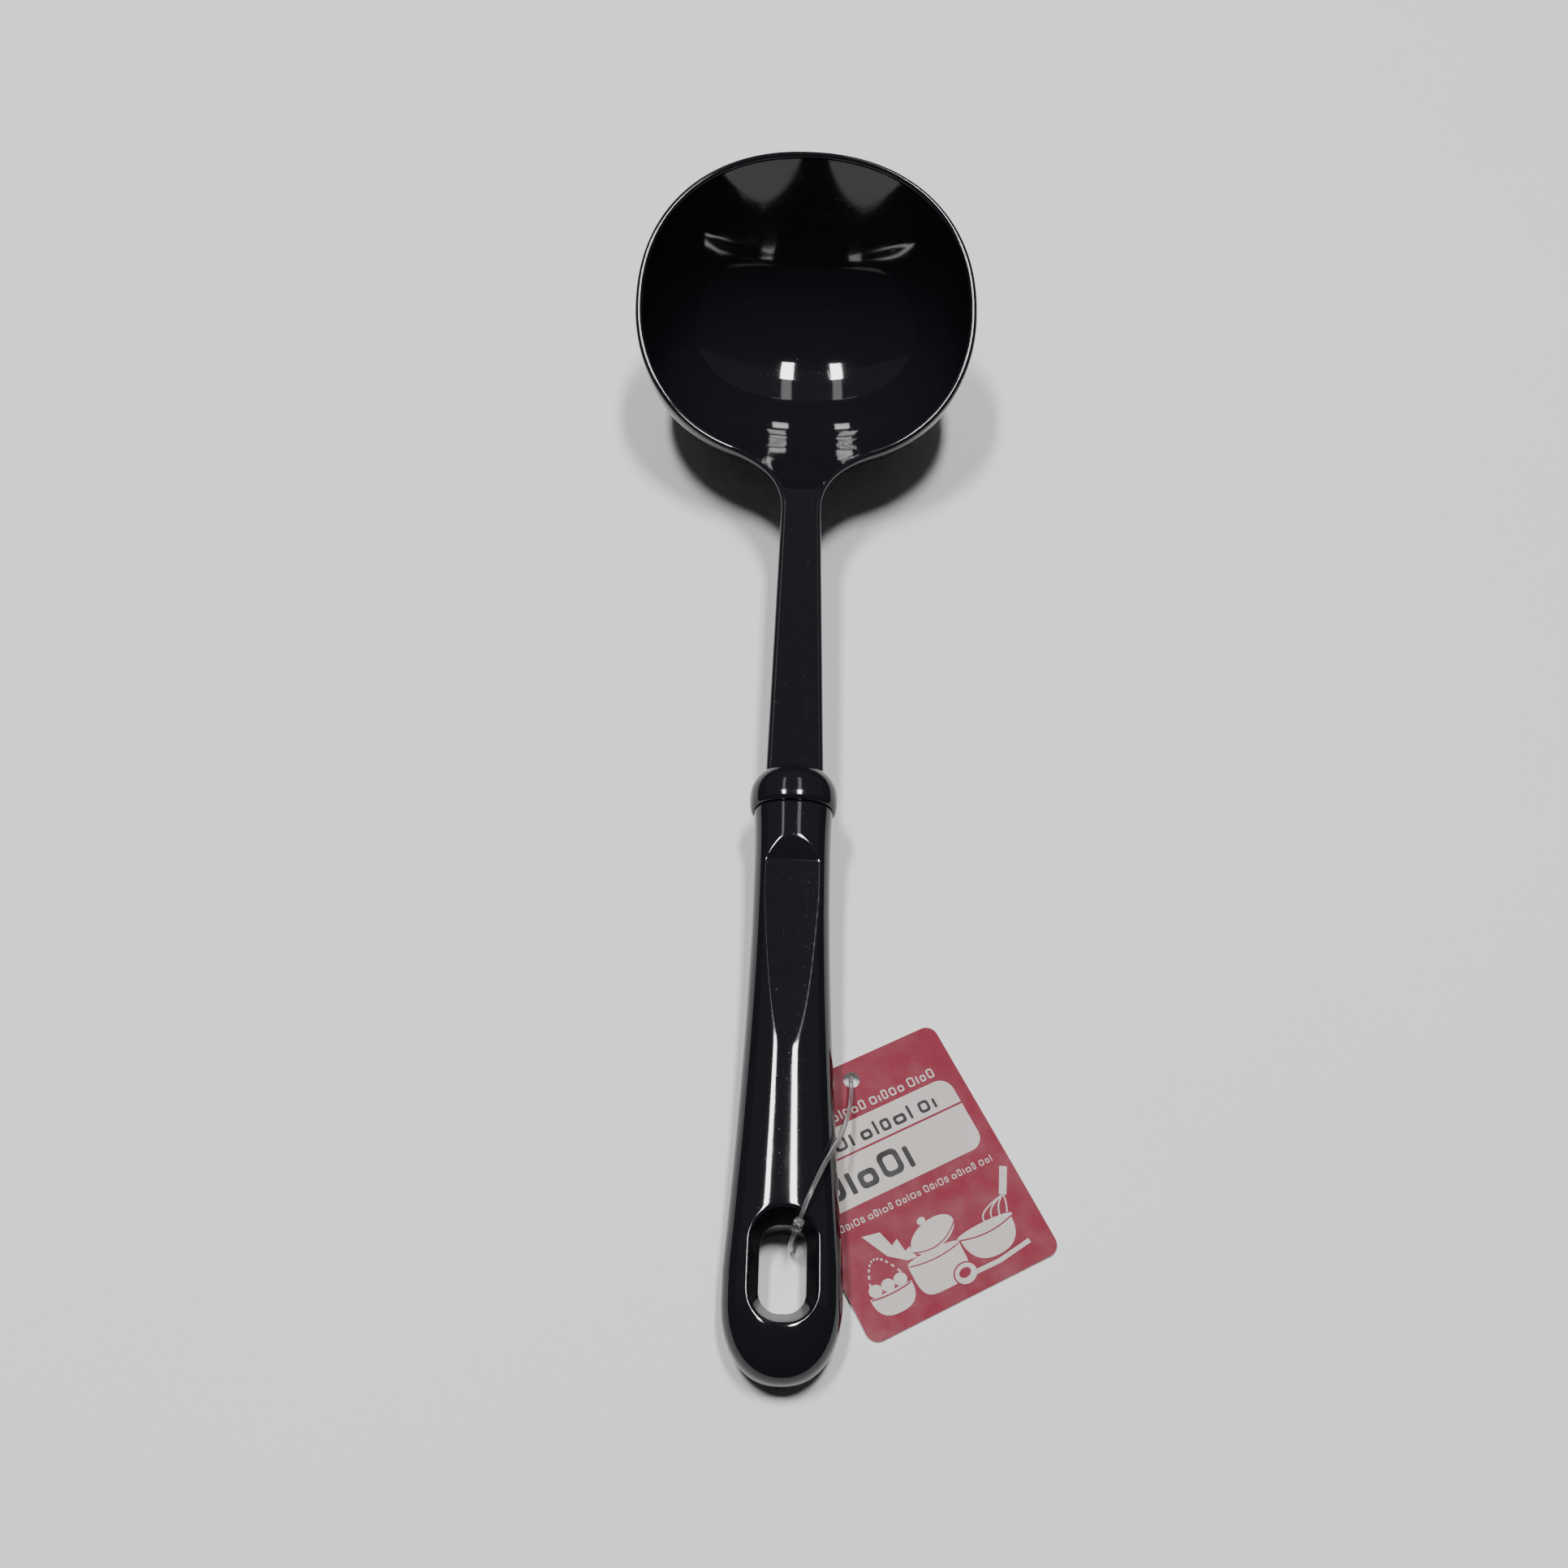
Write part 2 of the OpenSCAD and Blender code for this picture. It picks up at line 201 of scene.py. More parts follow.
def make_piece(name, points, faces, materials, body, sharp=None, kinds=None):
    """A welded mesh from points in millimetres. Edges of more than sharp degrees stay crisp."""
    mesh = bpy.data.meshes.new(name)
    mesh.from_pydata((np.asarray(points) * MM).tolist(), [], faces)
    for material in materials:
        mesh.materials.append(material)
    if kinds is not None:
        mesh.polygons.foreach_set("material_index", kinds)
    work = bmesh.new()
    work.from_mesh(mesh)
    bmesh.ops.remove_doubles(work, verts=work.verts, dist=WELD * MM)
    bmesh.ops.dissolve_degenerate(work, edges=work.edges, dist=WELD / 2 * MM)
    bmesh.ops.recalc_face_normals(work, faces=work.faces)
    work.to_mesh(mesh)
    work.free()
    mesh.shade_smooth()
    if sharp:
        mesh.set_sharp_from_angle(angle=math.radians(sharp))
    piece = bpy.data.objects.new(name, mesh)
    bpy.context.scene.collection.objects.link(piece)
    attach(piece, body)
    return piece


def loft_faces(rings, count, cap_start=True, cap_end=True):
    """Quads between rings of count points, and an end face on either end."""
    faces = []
    for i in range(rings - 1):
        for j in range(count):
            k = (j + 1) % count
            faces.append((i * count + j, i * count + k, (i + 1) * count + k, (i + 1) * count + j))
    if cap_start:
        faces.append(tuple(range(count)))
    if cap_end:
        faces.append(tuple((rings - 1) * count + j for j in range(count)))
    return faces


def sheet_faces(rows, columns):
    """Quads of an open grid, points row by row."""
    return [(i * columns + j, i * columns + j + 1, (i + 1) * columns + j + 1, (i + 1) * columns + j)
            for i in range(rows - 1) for j in range(columns - 1)]


def power(value, exponent):
    return np.sign(value) * np.abs(value) ** exponent


def clamp01(value):
    return np.clip(value, 0, 1)


def soft_min(a, b, k):
    """The lower of two heights, with a rounding of k where they cross."""
    return (a + b) / 2 - np.sqrt(((a - b) / 2) ** 2 + k * k)


# How the ladle lies on its bowl's foot and its grip's end.
REST_SLOPE = math.radians(4.89)
SEAT = np.array([0, -31.83, 15.4])


def lay(points):
    """From the ladle's axis frame to the table."""
    p = np.asarray(points, float)
    c, s = math.cos(REST_SLOPE), math.sin(REST_SLOPE)
    return np.stack([p[:, 0], p[:, 1] * c - p[:, 2] * s, p[:, 1] * s + p[:, 2] * c], 1) + SEAT


# ---------------------------------------------------------------- loop and lock

ROUTE = [
    (2.7, -121.8, 13.0), (3.6, -119.6, 15.2), (4.9, -116.6, 16.3), (6.4, -113.0, 15.5),
    (7.9, -109.8, 14.9), (9.6, -106.4, 13.6), (11.1, -102.8, 10.9), (12.1, -99.0, 8.3),
    (12.8, -95.6, 6.4), (13.1, -93.2, 5.3), (13.2, -91.6, 4.9), (13.2, -90.0, 4.8),
    (13.2, -88.4, 4.2), (13.2, -87.7, 2.6), (13.1, -88.4, 1.0), (12.8, -90.0, 0.4),
    (12.4, -91.7, 0.5), (11.6, -94.8, 0.5), (10.4, -98.6, 0.5), (8.6, -103.8, 0.5),
    (6.7, -109.2, 0.5), (4.8, -114.4, 0.5), (3.3, -118.8, 0.5), (2.3, -122.0, 0.5),
    (1.6, -123.6, 1.6), (1.4, -124.1, 3.4), (1.4, -123.9, 5.6), (1.6, -123.4, 8.0),
    (2.0, -122.8, 10.2), (2.4, -122.3, 11.8)]
LOOP_DIAMETER = 0.9


def smooth_route(route, steps):
    """The smooth curve that the route's points pull along."""
    p = np.array(route)
    p = np.vstack([2 * p[0] - p[1], p, 2 * p[-1] - p[-2]])
    out = []
    for i in range(len(p) - 3):
        for t in np.arange(steps) / steps:
            weights = ((1 - t) ** 3, 3 * t ** 3 - 6 * t ** 2 + 4,
                       1 + 3 * t + 3 * t ** 2 - 3 * t ** 3, t ** 3)
            out.append(sum(w * q for w, q in zip(weights, p[i:i + 4])) / 6)
    out.append(p[-2])
    return np.array(out)


def make_lock():
    """Barrel of the lock head, where the line's two ends meet: rounded ends and a waist."""
    a, b = np.array(ROUTE[-1]), np.array(ROUTE[0])
    along = (b - a) / np.linalg.norm(b - a)
    side = np.cross(along, (0, 0, 1))
    side /= np.linalg.norm(side)
    up = np.cross(side, along)
    profile = [(-1.30, 0.50), (-1.28, 0.72), (-1.16, 0.92), (-0.95, 1.04), (-0.65, 1.06), (-0.45, 0.92),
               (-0.30, 0.86), (0.30, 0.86), (0.45, 0.92), (0.65, 1.06), (0.95, 1.04), (1.16, 0.92),
               (1.28, 0.72), (1.30, 0.50)]
    around = 32
    points = []
    for position, radius in profile:
        for k in range(around):
            angle = TURN * k / around
            flat = 1 / (abs(math.cos(angle)) ** 3 + abs(math.sin(angle)) ** 3) ** (1 / 3)
            offset = radius * flat * (math.cos(angle) * side + math.sin(angle) * up)
            points.append((a + b) / 2 + position * along + offset)
    faces = loft_faces(len(profile), around)
    return make_piece("lock_head", points, faces, [CLEAR], "loop", 50)


def make_loop():
    curve = bpy.data.curves.new("tag_loop_line", "CURVE")
    curve.dimensions = "3D"
    curve.bevel_depth = LOOP_DIAMETER / 2 * MM
    curve.bevel_resolution = 5
    curve.use_fill_caps = True
    path = smooth_route(ROUTE, 6) * MM
    spline = curve.splines.new("POLY")
    spline.points.add(len(path) - 1)
    for point, place in zip(spline.points, path):
        point.co = (*place, 1)
    spline.use_smooth = True
    curve.materials.append(CLEAR)
    loop = bpy.data.objects.new("tag_loop_line", curve)
    bpy.context.scene.collection.objects.link(loop)
    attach(loop, "loop")
    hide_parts("tag_loop")
    lock = make_lock()
    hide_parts("loop_lock")


make_loop()


# ---------------------------------------------------------------- bowl, neck and shank

# Sizes along and across the ladle's axis, which runs from the grip's seam at 0 up to the bowl. The rim
# lies in its own plane, tilted from the axis, where eta is the distance from the bowl's centre.
RIM_R = 43.7
BOWL_DEPTH = 36.9
WALL = 1.9
RIM_POWER = 2.08
RIM_FRONT_POWER = 2.2
RIM_PITCH = math.radians(18.8)
RIM_Y = 141.75
RIM_Z = 9.3
NECK_ANGLE = 156
RAMP_SLOPE = math.radians(53)
BACK_SLOPE = math.radians(53)
NECK_HALF = 4.8
SHANK_HALF = 6.3
FACE_Z = 3.0
BACK_NECK = 3.0
BACK_COLLAR = 3.6
NECK_ETA = -58.5
LIFT_FROM = 126
LIFT = 1.6
EDGE = 1
FACE_ROUND = 1.2
BACK_ROUND = 3
BOTTOM_OUT = 35.8
BOTTOM_IN = BOTTOM_OUT - WALL
BOTTOM_ETA = -0.7
BOTTOM_UP = BOTTOM_OUT - BOWL_DEPTH
FRONT_SLOPE = math.radians(50)
FRONT_ROUND = 26
SECTION_POWER = 2.3
RIM_IN = RIM_R - WALL
COLLAR_LEN = 9.2
ACROSS = 64
ROUND = 10


def rim_point(angle, radius):
    """Point of the rim, from the tip at 0 round to the neck."""
    k = 2 / (RIM_FRONT_POWER if angle < 90 else RIM_POWER)
    s, c = math.sin(math.radians(angle)), math.cos(math.radians(angle))
    return np.array([radius * power(s, k), radius * power(c, k)])


def axis_line(eta, z):
    """Height over the rim's plane of a line that runs along the axis at z."""
    return -eta * math.tan(RIM_PITCH) + (z - RIM_Z) / math.cos(RIM_PITCH)


def spine(eta, radius, rim, slope, z, k):
    """Centre line of one skin: a steep front wall, the round bottom, a ramp, then the shank."""
    front = BOTTOM_ETA + radius * math.sin(FRONT_SLOPE)
    turn = BOTTOM_ETA - radius * math.sin(slope)
    if eta > front:
        f = (eta - front) / (rim - front)
        low = BOTTOM_UP - radius * math.cos(FRONT_SLOPE)
        rise = math.tan(FRONT_SLOPE) * (rim - front)
        return low + rise * f - (low + rise) * f * f
    if eta >= turn:
        return BOTTOM_UP - math.sqrt(radius ** 2 - (eta - BOTTOM_ETA) ** 2)
    low = BOTTOM_UP - radius * math.cos(slope)
    f = min(1, (turn - eta) / (turn - NECK_ETA))
    return soft_min(low + math.tan(slope) * (turn - eta), axis_line(eta, z), 4 * k * f * (1 - f))


def inner_spine(eta):
    return spine(eta, BOTTOM_IN, RIM_IN, RAMP_SLOPE, FACE_Z, FACE_ROUND)


def outer_spine(eta):
    return spine(eta, BOTTOM_OUT, RIM_R, BACK_SLOPE, -BACK_NECK, BACK_ROUND)


def skin(half, position, top, low, front):
    """Section across one skin, left to right: a boxy half oval, or a circular arc where front is 1."""
    b = np.linspace(-math.pi / 2, math.pi / 2, ACROSS + 1)
    sag = max(top - low, 0.02)
    x = half * np.sin(b)
    radius = (half ** 2 + sag ** 2) / (2 * sag)
    arc = np.sqrt(radius ** 2 - x ** 2) - radius + sag
    oval = sag * np.maximum(np.cos(b), 0) ** (2 / SECTION_POWER)
    return np.stack([x, np.full(ACROSS + 1, position), top - (1 - front) * oval - front * arc], 1)


def edge_arc(inner, outer, half):
    """Rounded edge between the two skins, from the inner to the outer."""
    c = np.linalg.norm(outer - inner) / 2
    d = (outer - inner) / (2 * c)
    up = np.array([0, 0, 1.0]) - d[2] * d
    up /= np.linalg.norm(up)
    half = math.radians(half)
    middle = (inner + outer) / 2 - up * c / math.tan(half)
    b = half * (2 * np.arange(1, ROUND + 1) / (ROUND + 1) - 1)
    return middle + c / math.sin(half) * (np.cos(b)[:, None] * up + np.sin(b)[:, None] * d)


def section(inner, outer, half, front=0):
    a, b = skin(*inner, front), skin(*outer, front)
    e = edge_arc(a[-1], b[-1], half)
    return np.vstack([a, e, b[::-1], e[::-1] * (-1, 1, 1)])


def bowl_section(angle):
    i, o = rim_point(angle, RIM_IN), rim_point(angle, RIM_R)
    up = LIFT * clamp01((angle - LIFT_FROM) / (NECK_ANGLE - LIFT_FROM)) ** 2
    front = clamp01(i[1] / FRONT_ROUND)
    return section((*i, up, inner_spine(i[1])), (*o, up, outer_spine(o[1])), 90, front)


def edge_curve(radius, half, z, t):
    """Point of the edge that leaves the rim and ends at the shank's edge."""
    p, q = rim_point(NECK_ANGLE, radius), rim_point(NECK_ANGLE - 1, radius)
    step = np.linalg.norm(p - q)
    d = (p - q) / step
    leave, arrive = 4, 10.7
    rise = 2 * LIFT / (NECK_ANGLE - LIFT_FROM) / step
    corners = np.array([(*p, LIFT), (*(p + leave * d), LIFT + leave * rise),
                        (half, NECK_ETA + arrive, z - arrive * math.tan(RIM_PITCH)), (half, NECK_ETA, z)])
    return np.array([(1 - t) ** 3, 3 * (1 - t) ** 2 * t, 3 * (1 - t) * t * t, t ** 3]) @ corners


def neck_section(t):
    z = axis_line(NECK_ETA, FACE_Z)
    i = edge_curve(RIM_IN, NECK_HALF - EDGE, z, t)
    o = edge_curve(RIM_R, NECK_HALF, z - EDGE, t)
    return section((*i, inner_spine(i[1])), (*o, outer_spine(o[1])), 90 - 45 * t)


def shank_section(y, neck_y):
    """Section square to the axis, tapering from neck_y to the collar."""
    f = clamp01((neck_y - y) / (neck_y - COLLAR_LEN))
    half = NECK_HALF + (SHANK_HALF - NECK_HALF) * f
    back = BACK_NECK + (BACK_COLLAR - BACK_NECK) * f
    return section((half - EDGE, y, FACE_Z, FACE_Z), (half, y, FACE_Z - EDGE, -back), 45)


def to_axis_frame(p):
    c, s = math.cos(RIM_PITCH), math.sin(RIM_PITCH)
    return np.stack([p[:, 0], RIM_Y + p[:, 1] * c - p[:, 2] * s, RIM_Z + p[:, 1] * s + p[:, 2] * c], 1)


def make_head():
    # Sections across the bowl from the tip to the neck, closer together at the tip.
    angles = [0.7, 1.4, 2.4] + list(np.arange(3.6, NECK_ANGLE - 0.5, 1.2))
    rings = [to_axis_frame(bowl_section(a)) for a in angles]
    rings += [to_axis_frame(neck_section(t)) for t in np.linspace(0, 1, 40)]
    neck_y = rings[-1][0, 1]
    rings += [shank_section(y, neck_y) for y in np.linspace(neck_y - 1.2, 4, 54)]
    count = len(rings[0])
    faces = loft_faces(len(rings), count, cap_start=False)
    # The tip is closed by strips between points that mirror each other.
    for k in range(ACROSS // 2, ACROSS // 2 + count // 2):
        face = [k % count, (k + 1) % count, (ACROSS - k - 1) % count, (ACROSS - k) % count]
        faces.append(tuple(dict.fromkeys(face)))
    points = lay(np.vstack(rings))
    points[:, 2] = np.maximum(points[:, 2], 0)
    head = make_piece("nylon_head", points, faces, [NYLON], "ladle")
    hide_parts("ladle_head")


make_head()


# ---------------------------------------------------------------- collar

COLLAR_W = 19.2
COLLAR_H = 15.0
COLLAR_WIDEST = 3
COLLAR_NOSE = 8.3
COLLAR_POWER = 2.2
COLLAR_BACK = 0.9
COLLAR_BACK_POWER = 2.4
COLLAR_POINTS = 128


def collar_scale(y):
    """Size of the bead's section against its widest one."""
    if y > COLLAR_WIDEST:
        return (1 - ((y - COLLAR_WIDEST) / COLLAR_NOSE) ** COLLAR_POWER) ** (1 / COLLAR_POWER)
    rise = (1 - (1 - y / COLLAR_WIDEST) ** COLLAR_BACK_POWER) ** (1 / COLLAR_BACK_POWER)
    return COLLAR_BACK + (1 - COLLAR_BACK) * rise


def oval(half, height, y, exponent, count):
    t = TURN * np.arange(count) / count
    return np.stack([half * power(np.sin(t), 2 / exponent), np.full(count, y),
                     height * power(np.cos(t), 2 / exponent)], 1)


def make_collar():
    nose = collar_scale(COLLAR_LEN)
    profile = [(COLLAR_LEN - 0.5, 0.1), (COLLAR_LEN - 0.15, nose - 0.12), (COLLAR_LEN, nose - 0.05)]
    profile += [(y, collar_scale(y)) for y in np.linspace(COLLAR_LEN, COLLAR_WIDEST, 26)]
    profile += [(y, collar_scale(y)) for y in COLLAR_WIDEST * np.linspace(1, 0, 22)[1:] ** 2]
    profile += [(0.0, 0.1)]
    rings = [oval(COLLAR_W / 2 * s, COLLAR_H / 2 * s, y, COLLAR_POWER, COLLAR_POINTS) for y, s in profile]
    points = lay(np.vstack(rings))
    collar = make_piece("collar_bead", points, loft_faces(len(rings), COLLAR_POINTS), [COLLAR],
                        "ladle", 40)
    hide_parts("collar")


make_collar()


# ---------------------------------------------------------------- grip

# d is the distance from the collar's seam towards the grip's end.
GRIP_LEN = 118.3
GRIP_W = 16.4
GRIP_END_W = 22.8
GRIP_H = 12.6
GRIP_POWER = 2.3
GRIP_SWELL = 20
END_ROUND = 15.3
END_POWER_ACROSS = 2.2
END_POWER_UP = 2.8
SEAM_FLARE = 0.7
SEAM_FLARE_LEN = 12
SEAM_SINK = 0.035
SEAM_ROUND = 0.6
HOLE_AT = 97.6
HOLE_HALF = np.array([8.9, 16.2]) / 2
HOLE_CORNER = 3.9
POCKET_DEPTH = 5
POCKET_FLARE = 2.6
POCKET_FLOOR = GRIP_H / 2 - POCKET_DEPTH
RIM_SOFT = 0.14
THUMB_DEPTH = 1.5
THUMB_FULL = 22
THUMB_END = 55
SCOOP_FROM = 8.5
SCOOP_TO = 13.7
THUMB_SOFT = 0.03
HOLE_FLARE = 0.6
BLOCK = 14.4
HALF_POINTS = 72
SIDE_POINTS = 48


def grip_half(d):
    swell = clamp01((d - GRIP_SWELL) / (HOLE_AT - GRIP_SWELL)) ** 1.7
    flare = SEAM_FLARE * clamp01(1 - d / SEAM_FLARE_LEN) ** 2
    return (GRIP_W + (GRIP_END_W - GRIP_W) * swell + flare) / 2


def end_scale(d, exponent):
    t = clamp01((d - GRIP_LEN + END_ROUND) / END_ROUND)
    return (1 - t ** exponent) ** (1 / exponent)


def seam_round(d):
    """Small rounding of the grip where it meets the collar."""
    return 1 - SEAM_SINK * (1 - np.sqrt(1 - clamp01(1 - d / SEAM_ROUND) ** 2))


def hole_distance(x, d):
    """Distance outside the hang hole's outline."""
    qx = np.abs(x) - HOLE_HALF[0] + HOLE_CORNER
    qd = np.abs(d - HOLE_AT) - HOLE_HALF[1] + HOLE_CORNER
    outside = np.hypot(np.maximum(qx, 0), np.maximum(qd, 0))
    return outside + np.minimum(np.maximum(qx, qd), 0) - HOLE_CORNER


def thumb_cut(d):
    """Height of the thumb recess, a long shallow ramp and a short steep one, and over the grip elsewhere."""
    long_ramp = (THUMB_END - d) / (THUMB_END - THUMB_FULL)
    short_ramp = (d - SCOOP_FROM) / (SCOOP_TO - SCOOP_FROM)
    return GRIP_H / 2 - THUMB_DEPTH * np.minimum(1, np.minimum(long_ramp, short_ramp))


def pocket_cut(x, d):
    return POCKET_FLOOR + hole_distance(x, d) * POCKET_DEPTH / POCKET_FLARE


def grip_surface(t, d, side):
    """Points of the upper (side 1) or lower (side -1) half of the grip, t from -90 to 90 degrees across."""
    t, d = np.broadcast_arrays(np.asarray(t, float), np.asarray(d, float))
    angle = np.radians(t)
    half, height = grip_half(d) * end_scale(d, END_POWER_ACROSS), GRIP_H / 2 * end_scale(d, END_POWER_UP)
    x = half * seam_round(d) * power(np.sin(angle), 2 / GRIP_POWER)
    z = height * seam_round(d) * power(np.cos(angle), 2 / GRIP_POWER)
    if side > 0:
        z = soft_min(z, thumb_cut(d), THUMB_SOFT)
        close = (hole_distance(x, d) < 4) & (np.abs(t) < 89.9)
        z = np.where(close, soft_min(z, pocket_cut(x, d), RIM_SOFT), z)
    return np.stack([x, -d, side * z], -1)


def grip_ring(d):
    t = np.linspace(-90, 90, HALF_POINTS + 1)
    return np.vstack([grip_surface(t, d, 1), grip_surface(t[::-1], d, -1)[1:-1]])


def on_outline(direction, offset):
    """Where rays from the hole's centre cross the outline that lies offset outside the hole's."""
    low, high = np.zeros(len(direction)), np.full(len(direction), 4.0)
    for _ in range(48):
        s = (low + high) / 2
        inside = hole_distance(direction[:, 0] * s, HOLE_AT + direction[:, 1] * s) < offset
        low, high = np.where(inside, s, low), np.where(inside, high, s)
    return direction * ((low + high) / 2)[:, None] + (0, HOLE_AT)


def block_frame():
    """Boundary of the block round the hole, as t and d, and each point's direction from the hole's centre."""
    across = np.linspace(-90, 90, HALF_POINTS + 1)[:-1]
    along = np.linspace(-BLOCK, BLOCK, SIDE_POINTS + 1)[:-1]
    t = np.concatenate([across, np.full(SIDE_POINTS, 90.0), -across, np.full(SIDE_POINTS, -90.0)])
    d = np.concatenate([np.full(HALF_POINTS, -BLOCK), along, np.full(HALF_POINTS, BLOCK), -along])
    direction = np.stack([t / 90 * HOLE_HALF[0], d / BLOCK * HOLE_HALF[1]], 1)
    return t, HOLE_AT + d, direction


def across_at(x, d):
    """The t whose point stands at x."""
    share = np.abs(x) / (grip_half(d) * end_scale(d, END_POWER_ACROSS))
    return np.degrees(np.sign(x) * np.arcsin(clamp01(share) ** (GRIP_POWER / 2)))


def block_patch(side, offsets, outward):
    """Rows of points from the hole's outline out to the block's boundary."""
    t, d, direction = block_frame()
    rows = []
    for offset in offsets:
        place = on_outline(direction, offset)
        rows.append(grip_surface(across_at(place[:, 0], place[:, 1]), place[:, 1], side))
    last_t, last_d = across_at(place[:, 0], place[:, 1]), place[:, 1]
    for f in np.linspace(0, 1, outward + 1)[1:]:
        rows.append(grip_surface(last_t + (t - last_t) * f, last_d + (d - last_d) * f, side))
    return rows


def hole_wall(top, bottom):
    """Rows from the pocket's floor down the hole, flaring into the underside."""
    rows = [top]
    for f in (0.04, 0.12, 0.3, 0.5, 0.7, 0.86):
        row = top.copy()
        row[:, 2] = top[:, 2] + (bottom[:, 2] + HOLE_FLARE - top[:, 2]) * f
        rows.append(row)
    for angle in np.radians([0, 18, 36, 54, 72]):
        row = top + (bottom - top) * (1 - math.cos(angle))
        row[:, 2] = bottom[:, 2] + HOLE_FLARE * (1 - math.sin(angle))
        rows.append(row)
    return rows + [bottom]


def make_grip():
    """Rings up to the block round the hole, patches that follow the hole, and the rings after the block."""
    start, end = HOLE_AT - BLOCK, HOLE_AT + BLOCK
    seam = [0, 0.15, 0.3, 0.6, 1, 2, 3.5, 5, 6.5, 8]
    thumb = np.arange(SCOOP_FROM, THUMB_END + 3, 0.4)
    first = np.concatenate([seam, thumb, np.linspace(THUMB_END + 3, start, 24)])
    turns = np.linspace(math.asin(1 - (GRIP_LEN - end) / END_ROUND), math.pi / 2 - 0.01, 24)
    last = GRIP_LEN - END_ROUND * (1 - np.sin(turns))
    points, faces = [], []
    for stations, ends in ((first, (True, False)), (last, (False, True))):
        rings = [grip_ring(d) for d in stations]
        base = sum(len(p) for p in points)
        made = loft_faces(len(rings), len(rings[0]), *ends)
        faces += [tuple(base + i for i in face) for face in made]
        points += rings
    pocket = [0, 0.1, 0.25, 0.5, 0.8, 1.1, 1.35, 1.55, 1.7, 1.85, 2, 2.15, 2.3, 2.45, 2.6, 2.8, 3.1, 3.5]
    top = block_patch(1, pocket, 14)
    bottom = block_patch(-1, [HOLE_FLARE, 0.9, 1.3, 1.8, 2.6, 3.5], 14)
    for rows in (top, bottom, hole_wall(top[0], bottom[0])):
        base = sum(len(p) for p in points)
        closed = [np.vstack([row, row[:1]]) for row in rows]
        faces += [tuple(base + i for i in face) for face in sheet_faces(len(closed), len(closed[0]))]
        points += closed
    placed = lay(np.vstack(points))
    placed[:, 2] = np.maximum(placed[:, 2], WELD)
    grip = make_piece("grip_moulding", placed, faces, [GRIP], "ladle", 50)
    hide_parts("handle")


make_grip()


# ---------------------------------------------------------------- hang tag

CARD_W = 41.9
CARD_H = 52.4
CARD_T = 0.4
CARD_R = 2.5
PUNCH_D = 3.4
PUNCH_IN = 3.9
PUNCH = np.array([13.4, -88.0])
CARD_TURN = math.radians(27.6)
CARD_TILT = math.radians(2.4)
CARD_UP = (CARD_H - PUNCH_IN) * math.sin(CARD_TILT)
CARD_BOW = 0.35
CARD_CURL = 0.25
INK = 0.03
INK_SUNK = 0.05
CARD_STRIP = 2.5


def card_place(points):
    """From card coordinates (across, up from the lower edge, height over its back) to the table."""
    u, v, h = np.asarray(points, float).T
    below = 1 - v / CARD_H
    bow = CARD_BOW * np.sin(np.pi * clamp01(v / CARD_H)) + CARD_CURL * clamp01(u / (CARD_W / 2)) ** 2
    v = v - (CARD_H - PUNCH_IN)
    h = h + below * bow
    y = v * math.cos(CARD_TILT) - h * math.sin(CARD_TILT)
    z = v * math.sin(CARD_TILT) + h * math.cos(CARD_TILT)
    c, s = math.cos(CARD_TURN), math.sin(CARD_TURN)
    return np.stack([PUNCH[0] + u * c - y * s, PUNCH[1] + u * s + y * c, CARD_UP + z], 1)


def rounded(x0, y0, x1, y1, radii, steps=8):
    """Outline of a rounded rectangle. Its radii run round from the lower left corner."""
    corners = ((x0, y0), (x1, y0), (x1, y1), (x0, y1))
    inward = ((1, 1), (-1, 1), (-1, -1), (1, -1))
    out = []
    for (x, y), (sx, sy), r, start in zip(corners, inward, radii, (180, 270, 0, 90)):
        for k in range(steps + 1):
            angle = math.radians(start + 90 * k / steps)
            out.append((x + sx * r + r * math.cos(angle), y + sy * r + r * math.sin(angle)))
    return out


def plate(outlines, low, high):
    """Closed thin plate over outlines, the later ones holes, cut in strips that can follow the card's bow."""
    points, edges = [], []
    for outline in outlines:
        base = len(points)
        points += [Vector(p) for p in outline]
        edges += [(base + k, base + (k + 1) % len(outline)) for k in range(len(outline))]
    flat, _, triangles, *_ = delaunay_2d_cdt(points, edges, [], 2 if len(outlines) > 1 else 1, 1e-6)
    work = bmesh.new()
    made = [work.verts.new((*p, 0)) for p in flat]
    for triangle in triangles:
        centre = sum((flat[i] for i in triangle), Vector((0, 0))) / len(triangle)
        if any(inside(centre, hole) for hole in outlines[1:]):
            continue
        work.faces.new([made[i] for i in triangle])
    bmesh.ops.delete(work, geom=[v for v in work.verts if not v.link_faces], context="VERTS")
    for axis, reach in ((Vector((1, 0, 0)), CARD_W / 2), (Vector((0, 1, 0)), CARD_H)):
        for cut in np.arange(-reach + CARD_STRIP, reach, CARD_STRIP):
            geometry = work.verts[:] + work.edges[:] + work.faces[:]
            bmesh.ops.bisect_plane(work, geom=geometry, dist=1e-5, plane_co=axis * cut, plane_no=axis)
    work.verts.index_update()
    top = [v.co.to_2d() for v in work.verts]
    faces = [[v.index for v in f.verts] for f in work.faces]
    rim = [(e.link_loops[0].vert.index, e.link_loops[0].link_loop_next.vert.index)
           for e in work.edges if len(e.link_faces) == 1]
    work.free()
    n = len(top)
    body = [(*p, high) for p in top] + [(*p, low) for p in top]
    shell = [tuple(f) for f in faces] + [tuple(i + n for i in reversed(f)) for f in faces]
    shell += [(b, a, a + n, b + n) for a, b in rim]
    return body, shell, len(faces)


